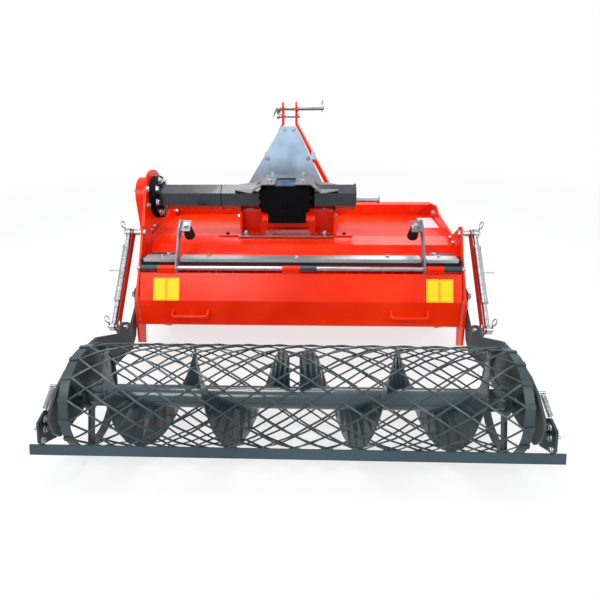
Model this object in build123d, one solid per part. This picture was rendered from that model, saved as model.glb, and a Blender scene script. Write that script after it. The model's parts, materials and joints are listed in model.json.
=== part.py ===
"""Stone burier: a rear-mounted soil machine with a hooded rotor, a hinged rear
door, a mast with link pins, an offset gearbox and a crumbler roller of expanded
metal with a twin-hand helical flight inside.

Millimetres, +Z up, +Y the direction of travel, ground at Z 0. Lengths along Y in
the functions below are measured from the roller's axle and moved by ROLLER_Y on
export, so that the machine's bounding box is centred on the origin in plan.
"""

import math
import os

from build123d import *

# Overall reach of the machine from the roller's axle, and the hood's width.
REAR_REACH = 216.0
FRONT_REACH = 1440.0
ROLLER_Y = REAR_REACH - (REAR_REACH + FRONT_REACH) / 2
HOOD_HALF = 760.0
PLATE_T = 10.0
INNER_HALF = HOOD_HALF - PLATE_T
CENTRE_X = -70.0

# Roller.
ROLLER_R = 200.0
ROLLER_HALF = HOOD_HALF + 35
CAGE_T = 6.0
CAGE_SIDES = 32
CAGE_CELLS = 13
CAGE_STRAND = 9.0
HOOP_W = 32.0
HOOP_T = 6.0
AXLE_R = 42.0
STUB_R = 20.0
FLIGHT_PITCH = (ROLLER_HALF - 127) / 2
FLIGHT_TURNS = 2.0625
FLIGHT_T = 5.0
FLIGHT_X0 = 18.0
FLIGHT_START = 90.0

# Roller arms, in plan: inner line beside the hood, outer line beside the roller.
ARM_T = 10.0
ARM_IN = HOOD_HALF + 11
ARM_OUT = ROLLER_HALF + 30
JOG_FRONT = 380.0
JOG_REAR = 212.0
ARM_PIVOT = (560.0, 352.0)
ARM_PIN_R = 12.0

# Depth adjusters: turnbuckles from the hood's posts to the arms.
ADJ_X = ARM_OUT - 3
ADJ_TOP = (703.0, 612.0)
ADJ_LOW = (360.0, 290.0)
ADJ_PIN_R = 9.5
ADJ_BARREL_R = 17.0
ADJ_ROD_R = 11.0
ADJ_EYE_PLAY = 1.0

# Rotor, gearbox and drive.
ROTOR_AXIS = (965.0, 260.0)
ROTOR_R = 228.0
ROTOR_TUBE_R = 63.5
ROTOR_STUB_R = 25.0
DRIVE_AXIS = (965.0, 719.0)
DRIVE_FLATS = 110.0

# Door and its hinge.
HINGE = (570.0, 485.0)
HINGE_R = 9.5
SLEEVE_R = 12.5
DOOR_HALF = INNER_HALF - 6
DOOR_T = 5.0
STOP_X = INNER_HALF - 178

# Three-point linkage.
TOP_PIN = (1290.0, 1122.0)
TOP_PIN_R = 12.7
LOW_PIN = (1395.0, 512.0)
LOW_PIN_R = 14.25
LOW_SPAN = 412.5

FIT = 0.05
GAP = 0.3


def side_plane(x):
    """Plane whose local x is +Y and local y is +Z, at X = x, extruding to +X."""
    return Plane(origin=(x, 0, 0), x_dir=(0, 1, 0), z_dir=(1, 0, 0))


def slab(points, x0, x1):
    """Prism of a (y, z) outline from X = x0 to x1."""
    face = make_face(Polyline(*points, close=True))
    return extrude(side_plane(min(x0, x1)) * face, amount=abs(x1 - x0), dir=(1, 0, 0))


def disc(y, z, r, x0, x1):
    """Cylinder along X."""
    return Pos((x0 + x1) / 2, y, z) * Rot(0, 90, 0) * Cylinder(r, abs(x1 - x0))


def ring(y, z, r, bore, x0, x1):
    return disc(y, z, r, x0, x1) - disc(y, z, bore, x0 - 1, x1 + 1)


def box(x0, x1, y0, y1, z0, z1):
    centre = Pos((x0 + x1) / 2, (y0 + y1) / 2, (z0 + z1) / 2)
    return centre * Box(abs(x1 - x0), abs(y1 - y0), abs(z1 - z0))


def front_slab(points, y0, y1):
    """Prism of an (x, z) outline from Y = y0 to y1."""
    plane = Plane(origin=(0, y0, 0), x_dir=(1, 0, 0), z_dir=(0, -1, 0))
    face = make_face(Polyline(*points, close=True))
    return extrude(plane * face, amount=y1 - y0, dir=(0, 1, 0))


def strip(points, t):
    """Outline of a bent sheet: the given line and its copy moved t to its right."""
    def offset(a, b):
        dx, dy = b[0] - a[0], b[1] - a[1]
        n = math.hypot(dx, dy)
        return dy / n * t, -dx / n * t

    inner = []
    for i, p in enumerate(points):
        sides = []
        if i:
            sides.append((points[i - 1], p))
        if i + 1 < len(points):
            sides.append((p, points[i + 1]))
        offs = [offset(*s) for s in sides]
        if len(offs) == 1:
            inner.append((p[0] + offs[0][0], p[1] + offs[0][1]))
        else:
            (ax, ay), (bx, by) = offs
            k = 2 * t * t / ((ax + bx) ** 2 + (ay + by) ** 2)
            inner.append((p[0] + (ax + bx) * k, p[1] + (ay + by) * k))
    return list(points) + inner[::-1]


def rod_between(a, b, r):
    """Round bar between two (x, y, z) points."""
    va, vb = Vector(*a), Vector(*b)
    d = vb - va
    return extrude(Plane(origin=va, z_dir=d) * Circle(r), amount=d.length)


def mirrored(shape):
    return shape.mirror(Plane.YZ)


def both(shape):
    """The shape and its mirror image in X, as separate solids."""
    return Compound(list(shape.solids()) + list(mirrored(shape).solids()))


def save(node, shape):
    solids = list(shape.solids())
    body = Compound(solids) if len(solids) > 1 else solids[0]
    export_step(Pos(0, ROLLER_Y, 0) * body, f"parts/{node}.step")


# Hood: two side plates, a bent top sheet, a front panel and a box cross tube.

SHELF_Z = 494.0
TOP_Z = 540.0
FRONT_Y = 1275.0
TUBE = 60.0
SHEET_T = 6.0
DRIVE_PLATE_T = 12.0

PLATE_LOWER = [
    (870, 0), (1180, 0), (1245, 28), (1300, 110), (1335, 380), (1335, 590), (1298, 601),
    (1176, 618), (1115, 592), (812, 565), (742, 618), (722, 640), (705, 644), (690, 628), (682, 612),
    (631, 538), (552, 441), (479, 353), (457, 266), (438, 180), (434, 160), (500, 118), (524, 182),
    (540, 212), (700, 108), (850, 8),
]


def side_plate(sign):
    plate = slab(PLATE_LOWER, INNER_HALF, HOOD_HALF)
    if sign < 0:
        y, z = DRIVE_AXIS
        plate += disc(y, z, 137, HOOD_HALF, HOOD_HALF + DRIVE_PLATE_T)
        plate += slab([(760, 480), (1180, 480), (1180, 590), (1096, 757), (843, 781), (712, 590)],
                      HOOD_HALF, HOOD_HALF + DRIVE_PLATE_T)
    for (y, z), r in ((ARM_PIVOT, ARM_PIN_R + FIT), (ADJ_TOP, ADJ_PIN_R + FIT), (HINGE, HINGE_R + FIT),
                      (ROTOR_AXIS, 34)):
        plate -= disc(y, z, r, INNER_HALF - 5, HOOD_HALF + DRIVE_PLATE_T + 5)
    return mirrored(plate) if sign < 0 else plate


def hood_shell():
    outer = [(600, SHELF_Z), (752, SHELF_Z), (783, 525), (872, TOP_Z), (FRONT_Y, TOP_Z)]
    top = slab(strip(outer, SHEET_T), -INNER_HALF, INNER_HALF)
    front = slab(
        [(FRONT_Y, TOP_Z - SHEET_T), (FRONT_Y, TOP_Z), (FRONT_Y + SHEET_T, TOP_Z - 3),
         (FRONT_Y + 40, 330), (FRONT_Y + 34, 330)],
        -INNER_HALF, INNER_HALF)
    notch = box(*BAR_SLOT, 580, 640, SHELF_Z - 20, SHELF_Z + 10)
    return top + front - notch - mirrored(notch)


def cross_tube():
    y0, z0 = FRONT_Y + SHEET_T / 2, TOP_Z - 3
    z1 = TOP_Z + 57
    outer = box(-INNER_HALF, INNER_HALF, y0, y0 + TUBE, z0, z1)
    cut = slab([(FRONT_Y, z0 - 1), (FRONT_Y + SHEET_T, z0 - 1), (FRONT_Y + SHEET_T, z0), (FRONT_Y, TOP_Z)],
               -INNER_HALF - 1, INNER_HALF + 1)
    bore = box(-INNER_HALF + 5, INNER_HALF - 5, y0 + 5, y0 + TUBE - 5, z0 + 5, z1 - 5)
    return outer - cut - bore


def corner_gussets():
    """Triangular stiffeners between the top sheet and the side plates."""
    out = []
    for y in (FRONT_Y - 8,):
        for s in (-1, 1):
            pts = [(s * (INNER_HALF - 70), TOP_Z), (s * INNER_HALF, TOP_Z), (s * INNER_HALF, TOP_Z + 50)]
            out.append(front_slab(pts, y - 6, y))
    return Compound([s for g in out for s in g.solids()])


# Rear hinge line on the hood.

BAR_SLOT = (STOP_X - 12, STOP_X + 12)


def hinge_bar():
    half = INNER_HALF - 20
    bar = box(-half, half, 592, 650, 506, 520)
    bar += box(-half, half, 592, 600, 506, 523)
    slot = box(*BAR_SLOT, 580, 660, 500, 530)
    return bar - slot - mirrored(slot)


def rubber_strip():
    half = INNER_HALF - 8
    band = box(-half, half, 588, 646, SHELF_Z, 506)
    band -= box(-half, half, 604, 660, SHELF_Z - 1, SHELF_Z + 2)
    slot = box(*BAR_SLOT, 580, 660, 480, 530)
    return band - slot - mirrored(slot)


def hinge_rod():
    return disc(*HINGE, HINGE_R, 2 - HOOD_HALF, HOOD_HALF - 2)


SLEEVE_END = INNER_HALF - 8
SLEEVE_SPLIT = INNER_HALF - 90
SLEEVES = [
    # x0, x1, moves with the door
    (-SLEEVE_END, -SLEEVE_SPLIT, False), (-SLEEVE_SPLIT, -STOP_X - 4, True), (-80, 0, True),
    (0, 80, False), (STOP_X + 4, SLEEVE_SPLIT, True), (SLEEVE_SPLIT, SLEEVE_END, False),
]


def hinge_sleeves(on_door):
    y, z = HINGE
    out = []
    for x0, x1, moves in SLEEVES:
        if moves != on_door:
            continue
        a, b = x0 + GAP, x1 - GAP
        piece = disc(y, z, SLEEVE_R, a, b)
        if on_door:
            piece += box(a, b, y - 9, y - 2, z - 30, z) - door_panel()
        else:
            piece += box(a, b, y, 600, z + 3, z + 9)
        piece -= disc(y, z, HINGE_R + FIT, a - 1, b + 1)
        out.append(piece)
    return Compound([s for p in out for s in p.solids()])


# Door.

DOOR_LINE = [(563, 463), (498, 350), (480, 238), (484, 230), (506, 226)]


def door_panel():
    panel = slab(strip(DOOR_LINE[::-1], DOOR_T), -DOOR_HALF, DOOR_HALF)
    return panel


def door_y(z):
    for (y0, z0), (y1, z1) in zip(DOOR_LINE, DOOR_LINE[1:]):
        if z1 <= z <= z0:
            return y0 + (y1 - y0) * (z - z0) / (z1 - z0)
    return DOOR_LINE[-1][0]


HANDLE_X = 507.0
HANDLE_HALF = 83.0


def door_handles():
    r, out_y = 6.0, door_y(292) - 38
    z_leg, z_bar = 305, 292
    y_leg = door_y(z_leg)
    path = FilletPolyline(
        (HANDLE_X - HANDLE_HALF, y_leg + 2, z_leg), (HANDLE_X - HANDLE_HALF, out_y, z_bar),
        (HANDLE_X + HANDLE_HALF, out_y, z_bar), (HANDLE_X + HANDLE_HALF, y_leg + 2, z_leg),
        radius=16)
    plane = Plane(origin=path @ 0, z_dir=path % 0)
    bar = sweep(plane * Circle(r), path=path)
    return both(bar - door_panel())


BUFFER_SEAT = (712.0, 642.0)
BUFFER_TILT = 30.0
BUFFER_LENGTH = 73.0
CLIP_HALF = 34.0


def buffer_point(along, out):
    """Point on the tilted clip: along its face, and out from it toward the rear."""
    t = math.radians(BUFFER_TILT)
    c, s = math.cos(t), math.sin(t)
    return BUFFER_SEAT[0] + along * c - out * s, BUFFER_SEAT[1] + along * s + out * c


def stop_arms():
    """Flat bars standing on the hinge line, each with a tilted clip for its buffer."""
    y, z = HINGE
    outline = [
        (562, 455), (558, 480), (560, 500), (570, 520), (612, 560), (647, 610), (675, 642), (724, 671),
        (742, 668), (748, 650), (702, 612), (672, 582), (640, 530), (600, 492), (584, 480), (572, 469),
        (568, 455)]
    arm = slab(outline, STOP_X - 4, STOP_X + 4)
    arm += disc(y, z, SLEEVE_R + 4, STOP_X - 4, STOP_X + 4)
    arm -= disc(y, z, HINGE_R + FIT, STOP_X - 9, STOP_X + 9)
    h = CLIP_HALF
    clip = slab([buffer_point(-h, -3), buffer_point(h, -3), buffer_point(h, 3), buffer_point(-h, 3)],
                STOP_X - 49, STOP_X)
    return both(arm + clip - door_panel())


def stop_buffers():
    y, z = buffer_point(0, -3 - BUFFER_LENGTH / 2)
    cone = Pos(STOP_X - 30, y, z) * Rot(BUFFER_TILT, 0, 0) * Cone(26, 20, BUFFER_LENGTH)
    return both(cone)


# Drive line on top of the hood.

def gearbox():
    y0, y1 = 840, 1090
    x0, x1 = CENTRE_X - 130, CENTRE_X + 114
    body = box(x0, x1, y0, y1, 670, 786)
    body = chamfer(body.edges().filter_by(Axis.Z), 18)
    body += box(CENTRE_X - 95, CENTRE_X + 95, y0 + 4, y1 - 4, 616, 670)
    body += box(CENTRE_X - 70, CENTRE_X + 70, y0 + 4, y1 - 30, 786, 800)
    y, z = DRIVE_AXIS
    hub = Pos(CENTRE_X, y1 + 12, z) * Rot(90, 0, 0) * Cylinder(62, 24)
    body += hub
    body += disc(y, z, 60, CENTRE_X - 138, CENTRE_X + 138)
    bore = Pos(CENTRE_X, y1 - 10, z) * Rot(90, 0, 0) * Cylinder(PTO_ROOT_R + 6 + FIT, 90)
    return body - bore


PTO_R = 17.45
PTO_ROOT_R = 14.9
PTO_END = 1204.0


def pto_shaft():
    """Input stub with six splines, in a journal inside the gearbox."""
    y_face = 1114
    z = DRIVE_AXIS[1]
    plane = Plane(origin=(CENTRE_X, 1070, z), x_dir=(1, 0, 0), z_dir=(0, 1, 0))
    journal = extrude(plane * Circle(PTO_ROOT_R + 6), amount=y_face + 6 - 1070)
    core = extrude(plane * Circle(PTO_ROOT_R), amount=PTO_END - 1070)
    teeth = Part()
    for k in range(6):
        bar = Pos(0, 0) * Rot(0, 0, 60 * k) * Pos(PTO_R / 2, 0) * Rectangle(PTO_R, 8.6)
        teeth += extrude(plane * (bar & Circle(PTO_R)), amount=PTO_END - 1070)
    groove = Cylinder(20, 9) - Cylinder(PTO_ROOT_R - 0.4, 9)
    groove = Pos(CENTRE_X, PTO_END - 38, z) * Rot(90, 0, 0) * groove
    return journal + (core + teeth - groove)


def hexagon(flats):
    s = flats / math.sqrt(3)
    return [(s * math.sin(math.radians(60 * k)), s * math.cos(math.radians(60 * k))) for k in range(6)]


def drive_tube(x0, x1, wall=8):
    y, z = DRIVE_AXIS
    outline = [(y + a, z + b) for a, b in hexagon(DRIVE_FLATS)]
    inner = [(y + a, z + b) for a, b in hexagon(DRIVE_FLATS - 2 * wall)]
    return slab(outline, x0, x1) - slab(inner, x0 + 6, x1 - 6)


def drive_tube_left():
    return drive_tube(-INNER_HALF + 22, CENTRE_X - 138)


def support_tube_right():
    y, z = DRIVE_AXIS
    tube = drive_tube(CENTRE_X + 138, 266)
    cap = slab([(y + a, z + b) for a, b in hexagon(DRIVE_FLATS + 8)], 266, 278)
    return tube + cap


def drive_flange():
    return disc(*DRIVE_AXIS, 106, -HOOD_HALF, -INNER_HALF + 22)


def stowed_pin():
    y, z = DRIVE_AXIS
    return disc(y, z - 14, 14, 278, 404) - disc(y, z - 14, 5, 403, 405) + disc(y, z - 14, 18, 392, 402)


def gear_case():
    """Side drive case on the left plate, from the top shaft down to the rotor."""
    y, z = DRIVE_AXIS
    yr, zr = ROTOR_AXIS
    x1 = -HOOD_HALF - DRIVE_PLATE_T
    x0 = x1 - 58
    case = disc(y, z, 100, x0, x1) + disc(yr, zr, 108, x0, x1)
    case += slab([(y - 100, z), (y + 100, z), (yr + 108, zr), (yr - 108, zr)], x0, x1)
    case += disc(yr, zr, 52, x0 - 14, x0)
    case -= disc(yr, zr, ROTOR_STUB_R + FIT, -HOOD_HALF - 40, -HOOD_HALF + 1)
    return case


def rotor_bearing():
    y, z = ROTOR_AXIS
    house = disc(y, z, 72, HOOD_HALF, HOOD_HALF + 40)
    house += box(HOOD_HALF, HOOD_HALF + 12, y - 90, y + 90, z - 90, z + 90)
    return house - disc(y, z, ROTOR_STUB_R + FIT, HOOD_HALF - 1, HOOD_HALF + 30)


def gearbox_saddle():
    """Bracket under the gearbox: base strips, cheeks under the tubes and a bridge."""
    parts = Part()
    z0, z1 = TOP_Z, DRIVE_AXIS[1] - DRIVE_FLATS / math.sqrt(3)
    for s in (-1, 1):
        xa, xb = CENTRE_X + s * 246, CENTRE_X + s * 142
        xa, xb = min(xa, xb), max(xa, xb)
        parts += box(xa, xb, 875, 1075, z0, z0 + 10)
        xo = xa if s < 0 else xb - 10
        parts += slab([(885, z0 + 10), (1068, z0 + 10), (1030, z1 + 2), (900, z1 + 2)], xo, xo + 10)
        parts += front_slab([(xa, z0 + 10), (xb, z0 + 10), (xb, z1 - 10), (xa, z1 - 10)], 960, 970)
    parts += box(CENTRE_X - 142, CENTRE_X + 142, 1000, 1075, z0, z0 + 10)
    parts += box(CENTRE_X - 142, CENTRE_X + 142, 875, 905, z0, z0 + 10)
    y, z = DRIVE_AXIS
    cut = slab([(y + a, z + b) for a, b in hexagon(DRIVE_FLATS)], -400, 300)
    return parts - cut


def gearbox_bridge():
    """Cross plate behind the gearbox's foot, arched over the hood's top."""
    z0 = TOP_Z + 10
    x0, x1 = CENTRE_X - 142, CENTRE_X + 142
    pts = [(x0, z0), (x0 + 20, z0), (x0 + 44, z0 + 34), (x1 - 44, z0 + 34), (x1 - 20, z0), (x1, z0),
           (x1, z0 + 62), (x0, z0 + 62)]
    plate = front_slab(pts, 895, 903)
    return plate + box(CENTRE_X - 94, CENTRE_X + 94, 903, 1060, z0 + 56, z0 + 66)


def gearbox_guard():
    """Folded sheet over the gearbox: a raised middle and two lower wings."""
    c, zt, zw = CENTRE_X, 808, 767
    line = [(c - 266, zw), (c - 176, zw), (c - 118, zt), (c + 118, zt), (c + 168, zw), (c + 256, zw)]
    sheet = front_slab(strip(line, 4), 850, 1095)
    for s in (-1, 1):
        corner = extrude(Pos(0, 0, zw - 20) * make_face(Polyline(
            (c + s * 170, 840), (c + s * 300, 840), (c + s * 300, 940), close=True)), amount=60)
        sheet -= corner
        far = extrude(Pos(0, 0, zw - 20) * make_face(Polyline(
            (c + s * 170, 1110), (c + s * 300, 1110), (c + s * 300, 1010), close=True)), amount=60)
        sheet -= far
        xa, xb = sorted((c + s * 137, c + s * 300))
        sheet -= box(xa, xb, 928, 1002, zw - 30, zt + 20)
    for y in (878, 1062):
        sheet += box(c - 70, c + 70, y - 8, y + 8, 800, 804)
    return sheet - box(c - 54, c + 42, 840, 1004, 790, 820)


# Three-point linkage.

EAR_HALF = 36.0
EAR_T = 12.0


def hitch_mast():
    """Two bent flat bars: upright ears at the top, legs spreading to the cross tube."""
    z_foot = TOP_Z + 57
    y, z = TOP_PIN
    line = [(EAR_HALF + EAR_T / 2, z + 60), (EAR_HALF + EAR_T / 2, 1046), (292, z_foot)]
    outline = strip(line, EAR_T)
    leg = front_slab(outline, y - 40, y + 40)
    leg += front_slab([(54, 1000), (148, 832), (279, z_foot), (267, z_foot), (138, 832)], y - 40, y + 40)
    cap = disc(y, z, 32, EAR_HALF - 20, EAR_HALF + 20)
    cap += box(EAR_HALF - 30, 400, y - 40, y + 40, z_foot, z - 22)
    leg = leg & cap
    leg -= disc(y, z, TOP_PIN_R + FIT, 0, 80)
    leg -= disc(y - 2, z - 40, 9.5 + FIT, 0, 80)
    foot = box(250, 330, y - 10, y + 45, z_foot, z_foot + 10)
    foot -= front_slab(outline, y - 41, y + 46)
    leg += foot
    return Pos(CENTRE_X, 0, 0) * both(leg)


def mast_brace():
    y, z_foot = TOP_PIN[0], TOP_Z + 57
    def leg_x(z):
        return EAR_HALF - EAR_T / 2 + (1046 - z) * (292 - EAR_HALF - EAR_T / 2) / (1046 - z_foot) - 1.0
    z0, z1 = 838, 850
    points = [(-leg_x(z0) - 8, z0), (leg_x(z0) + 8, z0), (leg_x(z1) + 8, z1), (-leg_x(z1) - 8, z1)]
    bar = Pos(CENTRE_X, 0, 0) * front_slab(points, y - 20, y + 36)
    return max((bar - hitch_mast()).solids(), key=lambda s: s.volume)


def top_link_pin():
    y, z = TOP_PIN
    pin = disc(y, z, TOP_PIN_R, CENTRE_X - 50, CENTRE_X + 186)
    pin = chamfer(pin.edges().sort_by(Axis.X)[-1], 4)
    pin += disc(y, z, 24, CENTRE_X - 72, CENTRE_X - 50)
    pin += disc(y, z, 18, CENTRE_X + EAR_HALF + EAR_T / 2, CENTRE_X + EAR_HALF + EAR_T / 2 + 6)
    return pin


def lower_mast_pin():
    y, z = TOP_PIN[0] - 2, TOP_PIN[1] - 40
    return disc(y, z, 9.5, CENTRE_X - 58, CENTRE_X + 56) + disc(y, z, 15, CENTRE_X - 70, CENTRE_X - 58)


def pto_shield():
    c, y0 = CENTRE_X, TOP_PIN[0] - 47
    pts = [(c - 44, 1035), (c + 36, 1035), (c + 226, 640), (c + 95, 640), (c + 95, 760), (c - 95, 760),
           (c - 95, 640), (c - 300, 640)]
    sheet = front_slab(pts, y0, y0 + 3)
    for s in (-1, 1):
        sheet += box(c + s * 130 - 12, c + s * 130 + 12, y0 + 3, y0 + 7, 860, 900)
    return sheet


LINK_X = [CENTRE_X - LOW_SPAN, CENTRE_X + LOW_SPAN]
LINK_EARS = (-52.0, -37.0, 0.0, 15.0)


def link_brackets():
    """Pairs of plates on the hood's front for the lower link pins."""
    y, z = LOW_PIN
    pts = [(1340, 597), (1352, 597), (y + 36, z + 28), (y + 45, z), (y + 30, z - 38), (1330, 392),
           (1308, 392)]
    front = [(FRONT_Y - 10, 534), (FRONT_Y + SHEET_T + 0.8, 534), (FRONT_Y + 40.4, 328), (1270, 328)]
    solids = []
    for x, s in zip(LINK_X, (-1, 1)):
        for a, b in (LINK_EARS[:2], LINK_EARS[2:]):
            x0, x1 = sorted((x + s * (a - 15), x + s * (b - 15)))
            plate = slab(pts, x0, x1)
            plate -= slab(front, x0 - 1, x1 + 1)
            plate -= box(x0 - 1, x1 + 1, 1270, FRONT_Y + SHEET_T / 2 + TUBE, TOP_Z - 3, 620)
            plate -= disc(y, z, LOW_PIN_R + FIT, x0 - 1, x1 + 1)
            solids += plate.solids()
    return Compound(solids)


def lower_link_pins():
    y, z = LOW_PIN
    solids = []
    for x, s in zip(LINK_X, (-1, 1)):
        x0, x1 = sorted((x - s * 82, x + s * 92))
        pin = disc(y, z, LOW_PIN_R, x0, x1)
        tips = pin.edges().sort_by(Axis.X)
        pin = chamfer(tips[-1] if s > 0 else tips[0], 3)
        for a, b in ((-82, -67), (0, 8)):
            h0, h1 = sorted((x + s * a, x + s * b))
            pin += disc(y, z, 24 if a < 0 else 20, h0, h1)
        solids += pin.solids()
    return Compound(solids)


# Inside the hood.

GRILLE_R = 242.0
GRILLE_BARS = 25
GRILLE_SPAN = 2 * INNER_HALF - 100


def stone_grille():
    """Comb of curved bars behind the rotor, hung from a cross bar."""
    y, z = ROTOR_AXIS
    r0, r1 = GRILLE_R, GRILLE_R + 14
    a0, a1 = 143, 232
    steps = 9
    arc = [math.radians(a0 + (a1 - a0) * k / steps) for k in range(steps + 1)]
    pts = [(y + r0 * math.cos(a), z + r0 * math.sin(a)) for a in arc]
    pts += [(y + r1 * math.cos(a), z + r1 * math.sin(a)) for a in arc[::-1]]
    bar = slab(pts, -5, 5)
    comb = box(-INNER_HALF, INNER_HALF, 742, 774, 404, 444)
    comb -= box(-INNER_HALF + 5, INNER_HALF - 5, 746, 770, 408, 440)
    bar -= box(-20, 20, 742, 774, 404, 444)
    pitch = GRILLE_SPAN / (GRILLE_BARS - 1)
    bars = [Pos(-GRILLE_SPAN / 2 + pitch * k, 0, 0) * bar for k in range(GRILLE_BARS)]
    return comb.fuse(*[b.solids()[0] for b in bars])


ROTOR_FLANGES = 8
TINES = 4


def rotor_shaft():
    y, z = ROTOR_AXIS
    end = INNER_HALF - 50
    shaft = disc(y, z, ROTOR_TUBE_R, -end, end)
    shaft += disc(y, z, ROTOR_STUB_R, -HOOD_HALF - 38, 1 - end)
    shaft += disc(y, z, ROTOR_STUB_R, end - 1, HOOD_HALF + 28)
    return shaft


def rotor_flanges():
    """Flanges on the rotor, each with its bent tines: a shank and a foot along the axle."""
    y, z = ROTOR_AXIS
    reach = ROTOR_R
    solids = []
    first = 120 - INNER_HALF
    for k in range(ROTOR_FLANGES):
        x = first - 2 * first * k / (ROTOR_FLANGES - 1)
        flange = ring(y, z, 125, ROTOR_TUBE_R, x - 5, x + 5)
        for n in range(TINES):
            s = 1 if n % 2 else -1
            a, b = sorted((x + s * 5, x + s * 17))
            shank = slab([(y - 26, z + 84), (y + 26, z + 84), (y + 22, z + reach - 12),
                          (y - 8, z + reach - 6)], a, b)
            a, b = sorted((x + s * 5, x + s * 68))
            foot = slab([(y - 8, z + reach - 20), (y + 22, z + reach - 26), (y + 22, z + reach - 12),
                         (y - 8, z + reach - 6)], a, b)
            flange += (shank + foot).rotate(Axis((0, y, z), (1, 0, 0)), 360 / TINES * n + 37 * k)
        solids += flange.solids()
    return Compound(solids)


# Roller frame: two arms, bearings, scraper.

ARM_OUTLINE = [
    (600, 352), (592, 380), (568, 394), (532, 388), (504, 318), (420, 268), (384, 300), (360, 312),
    (338, 300), (322, 276), (291, 290), (205, 328), (60, 344), (-40, 338), (-112, 316), (-176, 276),
    (-198, 246), (-196, 190), (-172, 152), (-110, 140), (60, 132), (210, 138), (380, 160), (440, 196),
    (520, 312), (580, 318),
]


def roller_arm():
    half = ARM_T / 2
    plan = [(ARM_IN, 640), (ARM_IN, JOG_FRONT), (ARM_OUT, JOG_REAR), (ARM_OUT, -210)]
    left = strip(plan, -half)
    right = strip(plan, half)
    band = left[len(plan):][::-1] + right[len(plan):]
    face = make_face(Polyline(*band, close=True))
    wall = extrude(Plane.XY * face, amount=500)
    span = (ARM_IN - 31, ARM_OUT + 35)
    arm = wall & slab(ARM_OUTLINE, *span)
    for y, z, r in ((*ARM_PIVOT, ARM_PIN_R + FIT), (*ADJ_LOW, ADJ_PIN_R), (0, ROLLER_R, STUB_R + 4),
                    (428, 245, 6)):
        arm -= disc(y, z, r, *span)
    return arm


def arm_pivot_pins():
    y, z = ARM_PIVOT
    pin = disc(y, z, ARM_PIN_R, INNER_HALF - 14, ARM_IN + 14)
    pin += disc(y, z, 21, INNER_HALF - 14, INNER_HALF)
    pin += disc(y, z, 19, ARM_IN + ARM_T / 2 + 1, ARM_IN + 15)
    pin += ring(y, z, 24, ARM_PIN_R - 0.5, HOOD_HALF, ARM_IN - ARM_T / 2 - 0.4)
    return both(pin)


def adjuster_top_pins():
    y, z = ADJ_TOP
    pin = disc(y, z, ADJ_PIN_R, INNER_HALF - 10, ADJ_X + 24)
    pin += disc(y, z, 16, INNER_HALF - 10, INNER_HALF)
    pin += ring(y, z, 14, ADJ_PIN_R - 0.5, HOOD_HALF, ADJ_X - 26)
    return both(pin)


def adjuster_low_pins():
    y, z = ADJ_LOW
    x_arm = ARM_IN + (JOG_FRONT - y) * (ARM_OUT - ARM_IN) / (JOG_FRONT - JOG_REAR)
    pin = disc(y, z, ADJ_PIN_R, x_arm - 16, ADJ_X + 24)
    return both(pin)


def adjuster_frame():
    d = (ADJ_LOW[0] - ADJ_TOP[0], ADJ_LOW[1] - ADJ_TOP[1])
    n = math.hypot(*d)
    return (d[0] / n, d[1] / n), n


def adjuster_barrel():
    """Upper eye, rod and threaded barrel, drawn along -Z from the top pin."""
    _, n = adjuster_frame()
    eye = Cylinder(20, 18).rotate(Axis.Y, 90)
    rod = Pos(0, 0, -45) * Cylinder(ADJ_ROD_R, 60)
    barrel = Pos(0, 0, -(72 + 350) / 2) * Cylinder(ADJ_BARREL_R, 350 - 72)
    collars = Pos(0, 0, -79) * Cylinder(19, 14) + Pos(0, 0, -343) * Cylinder(19, 14)
    part = eye + rod + barrel + collars
    part -= Pos(0, 0, -280) * Cylinder(ADJ_ROD_R + FIT, 145)
    part -= Cylinder(ADJ_PIN_R + FIT, 40).rotate(Axis.Y, 90)
    handle = Pos(ADJ_BARREL_R + 22, 0, -200) * Cylinder(3.5, 52).rotate(Axis.Y, 90)
    part += handle
    return part


def adjuster_rod():
    _, n = adjuster_frame()
    eye = Pos(0, 0, -n) * Cylinder(20, 18).rotate(Axis.Y, 90)
    rod = Pos(0, 0, -(n - 14 + 232) / 2) * Cylinder(ADJ_ROD_R, n - 14 - 232)
    return eye + rod - Pos(0, 0, -n) * Cylinder(ADJ_PIN_R + ADJ_EYE_PLAY, 40).rotate(Axis.Y, 90)


def adjuster_strap():
    """Slotted flat bar on the same two pins, inside the barrel."""
    _, n = adjuster_frame()
    x0, half, slot_r = -22.5, 17.0, ADJ_PIN_R + 1.5
    near, far = n - 17, n + 11
    end = far + slot_r + 8
    strap = Pos(x0, 0, -(end - half) / 2) * Box(5, 2 * half, end - half)
    for z in (0, half - end):
        strap += Pos(x0, 0, z) * Cylinder(half, 5).rotate(Axis.Y, 90)
    strap -= Pos(x0, 0, 0) * Cylinder(ADJ_PIN_R + FIT, 20).rotate(Axis.Y, 90)
    strap -= Pos(x0, 0, -(near + far) / 2) * Box(20, 2 * slot_r, far - near)
    for z in (-near, -far):
        strap -= Pos(x0, 0, z) * Cylinder(slot_r, 20).rotate(Axis.Y, 90)
    return strap


def place_adjuster(shape, sign):
    """From the drawing line along -Z at the origin to the hood's post."""
    (dy, dz), _ = adjuster_frame()
    angle = math.degrees(math.atan2(dy, -dz))
    shape = shape.rotate(Axis.X, angle)
    shape = Pos(ADJ_X, *ADJ_TOP) * shape
    return mirrored(shape) if sign < 0 else shape


def roller_bearings():
    z = ROLLER_R
    x_in = ARM_OUT - ARM_T / 2
    house = disc(0, z, 46, x_in - 16, x_in)
    house += disc(0, z, 46, x_in + ARM_T, x_in + ARM_T + 20)
    house += disc(0, z, STUB_R + 4, x_in - 1, x_in + ARM_T + 1)
    house -= disc(0, z, STUB_R + FIT, x_in - 20, x_in + ARM_T + 12)
    return both(house)


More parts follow.
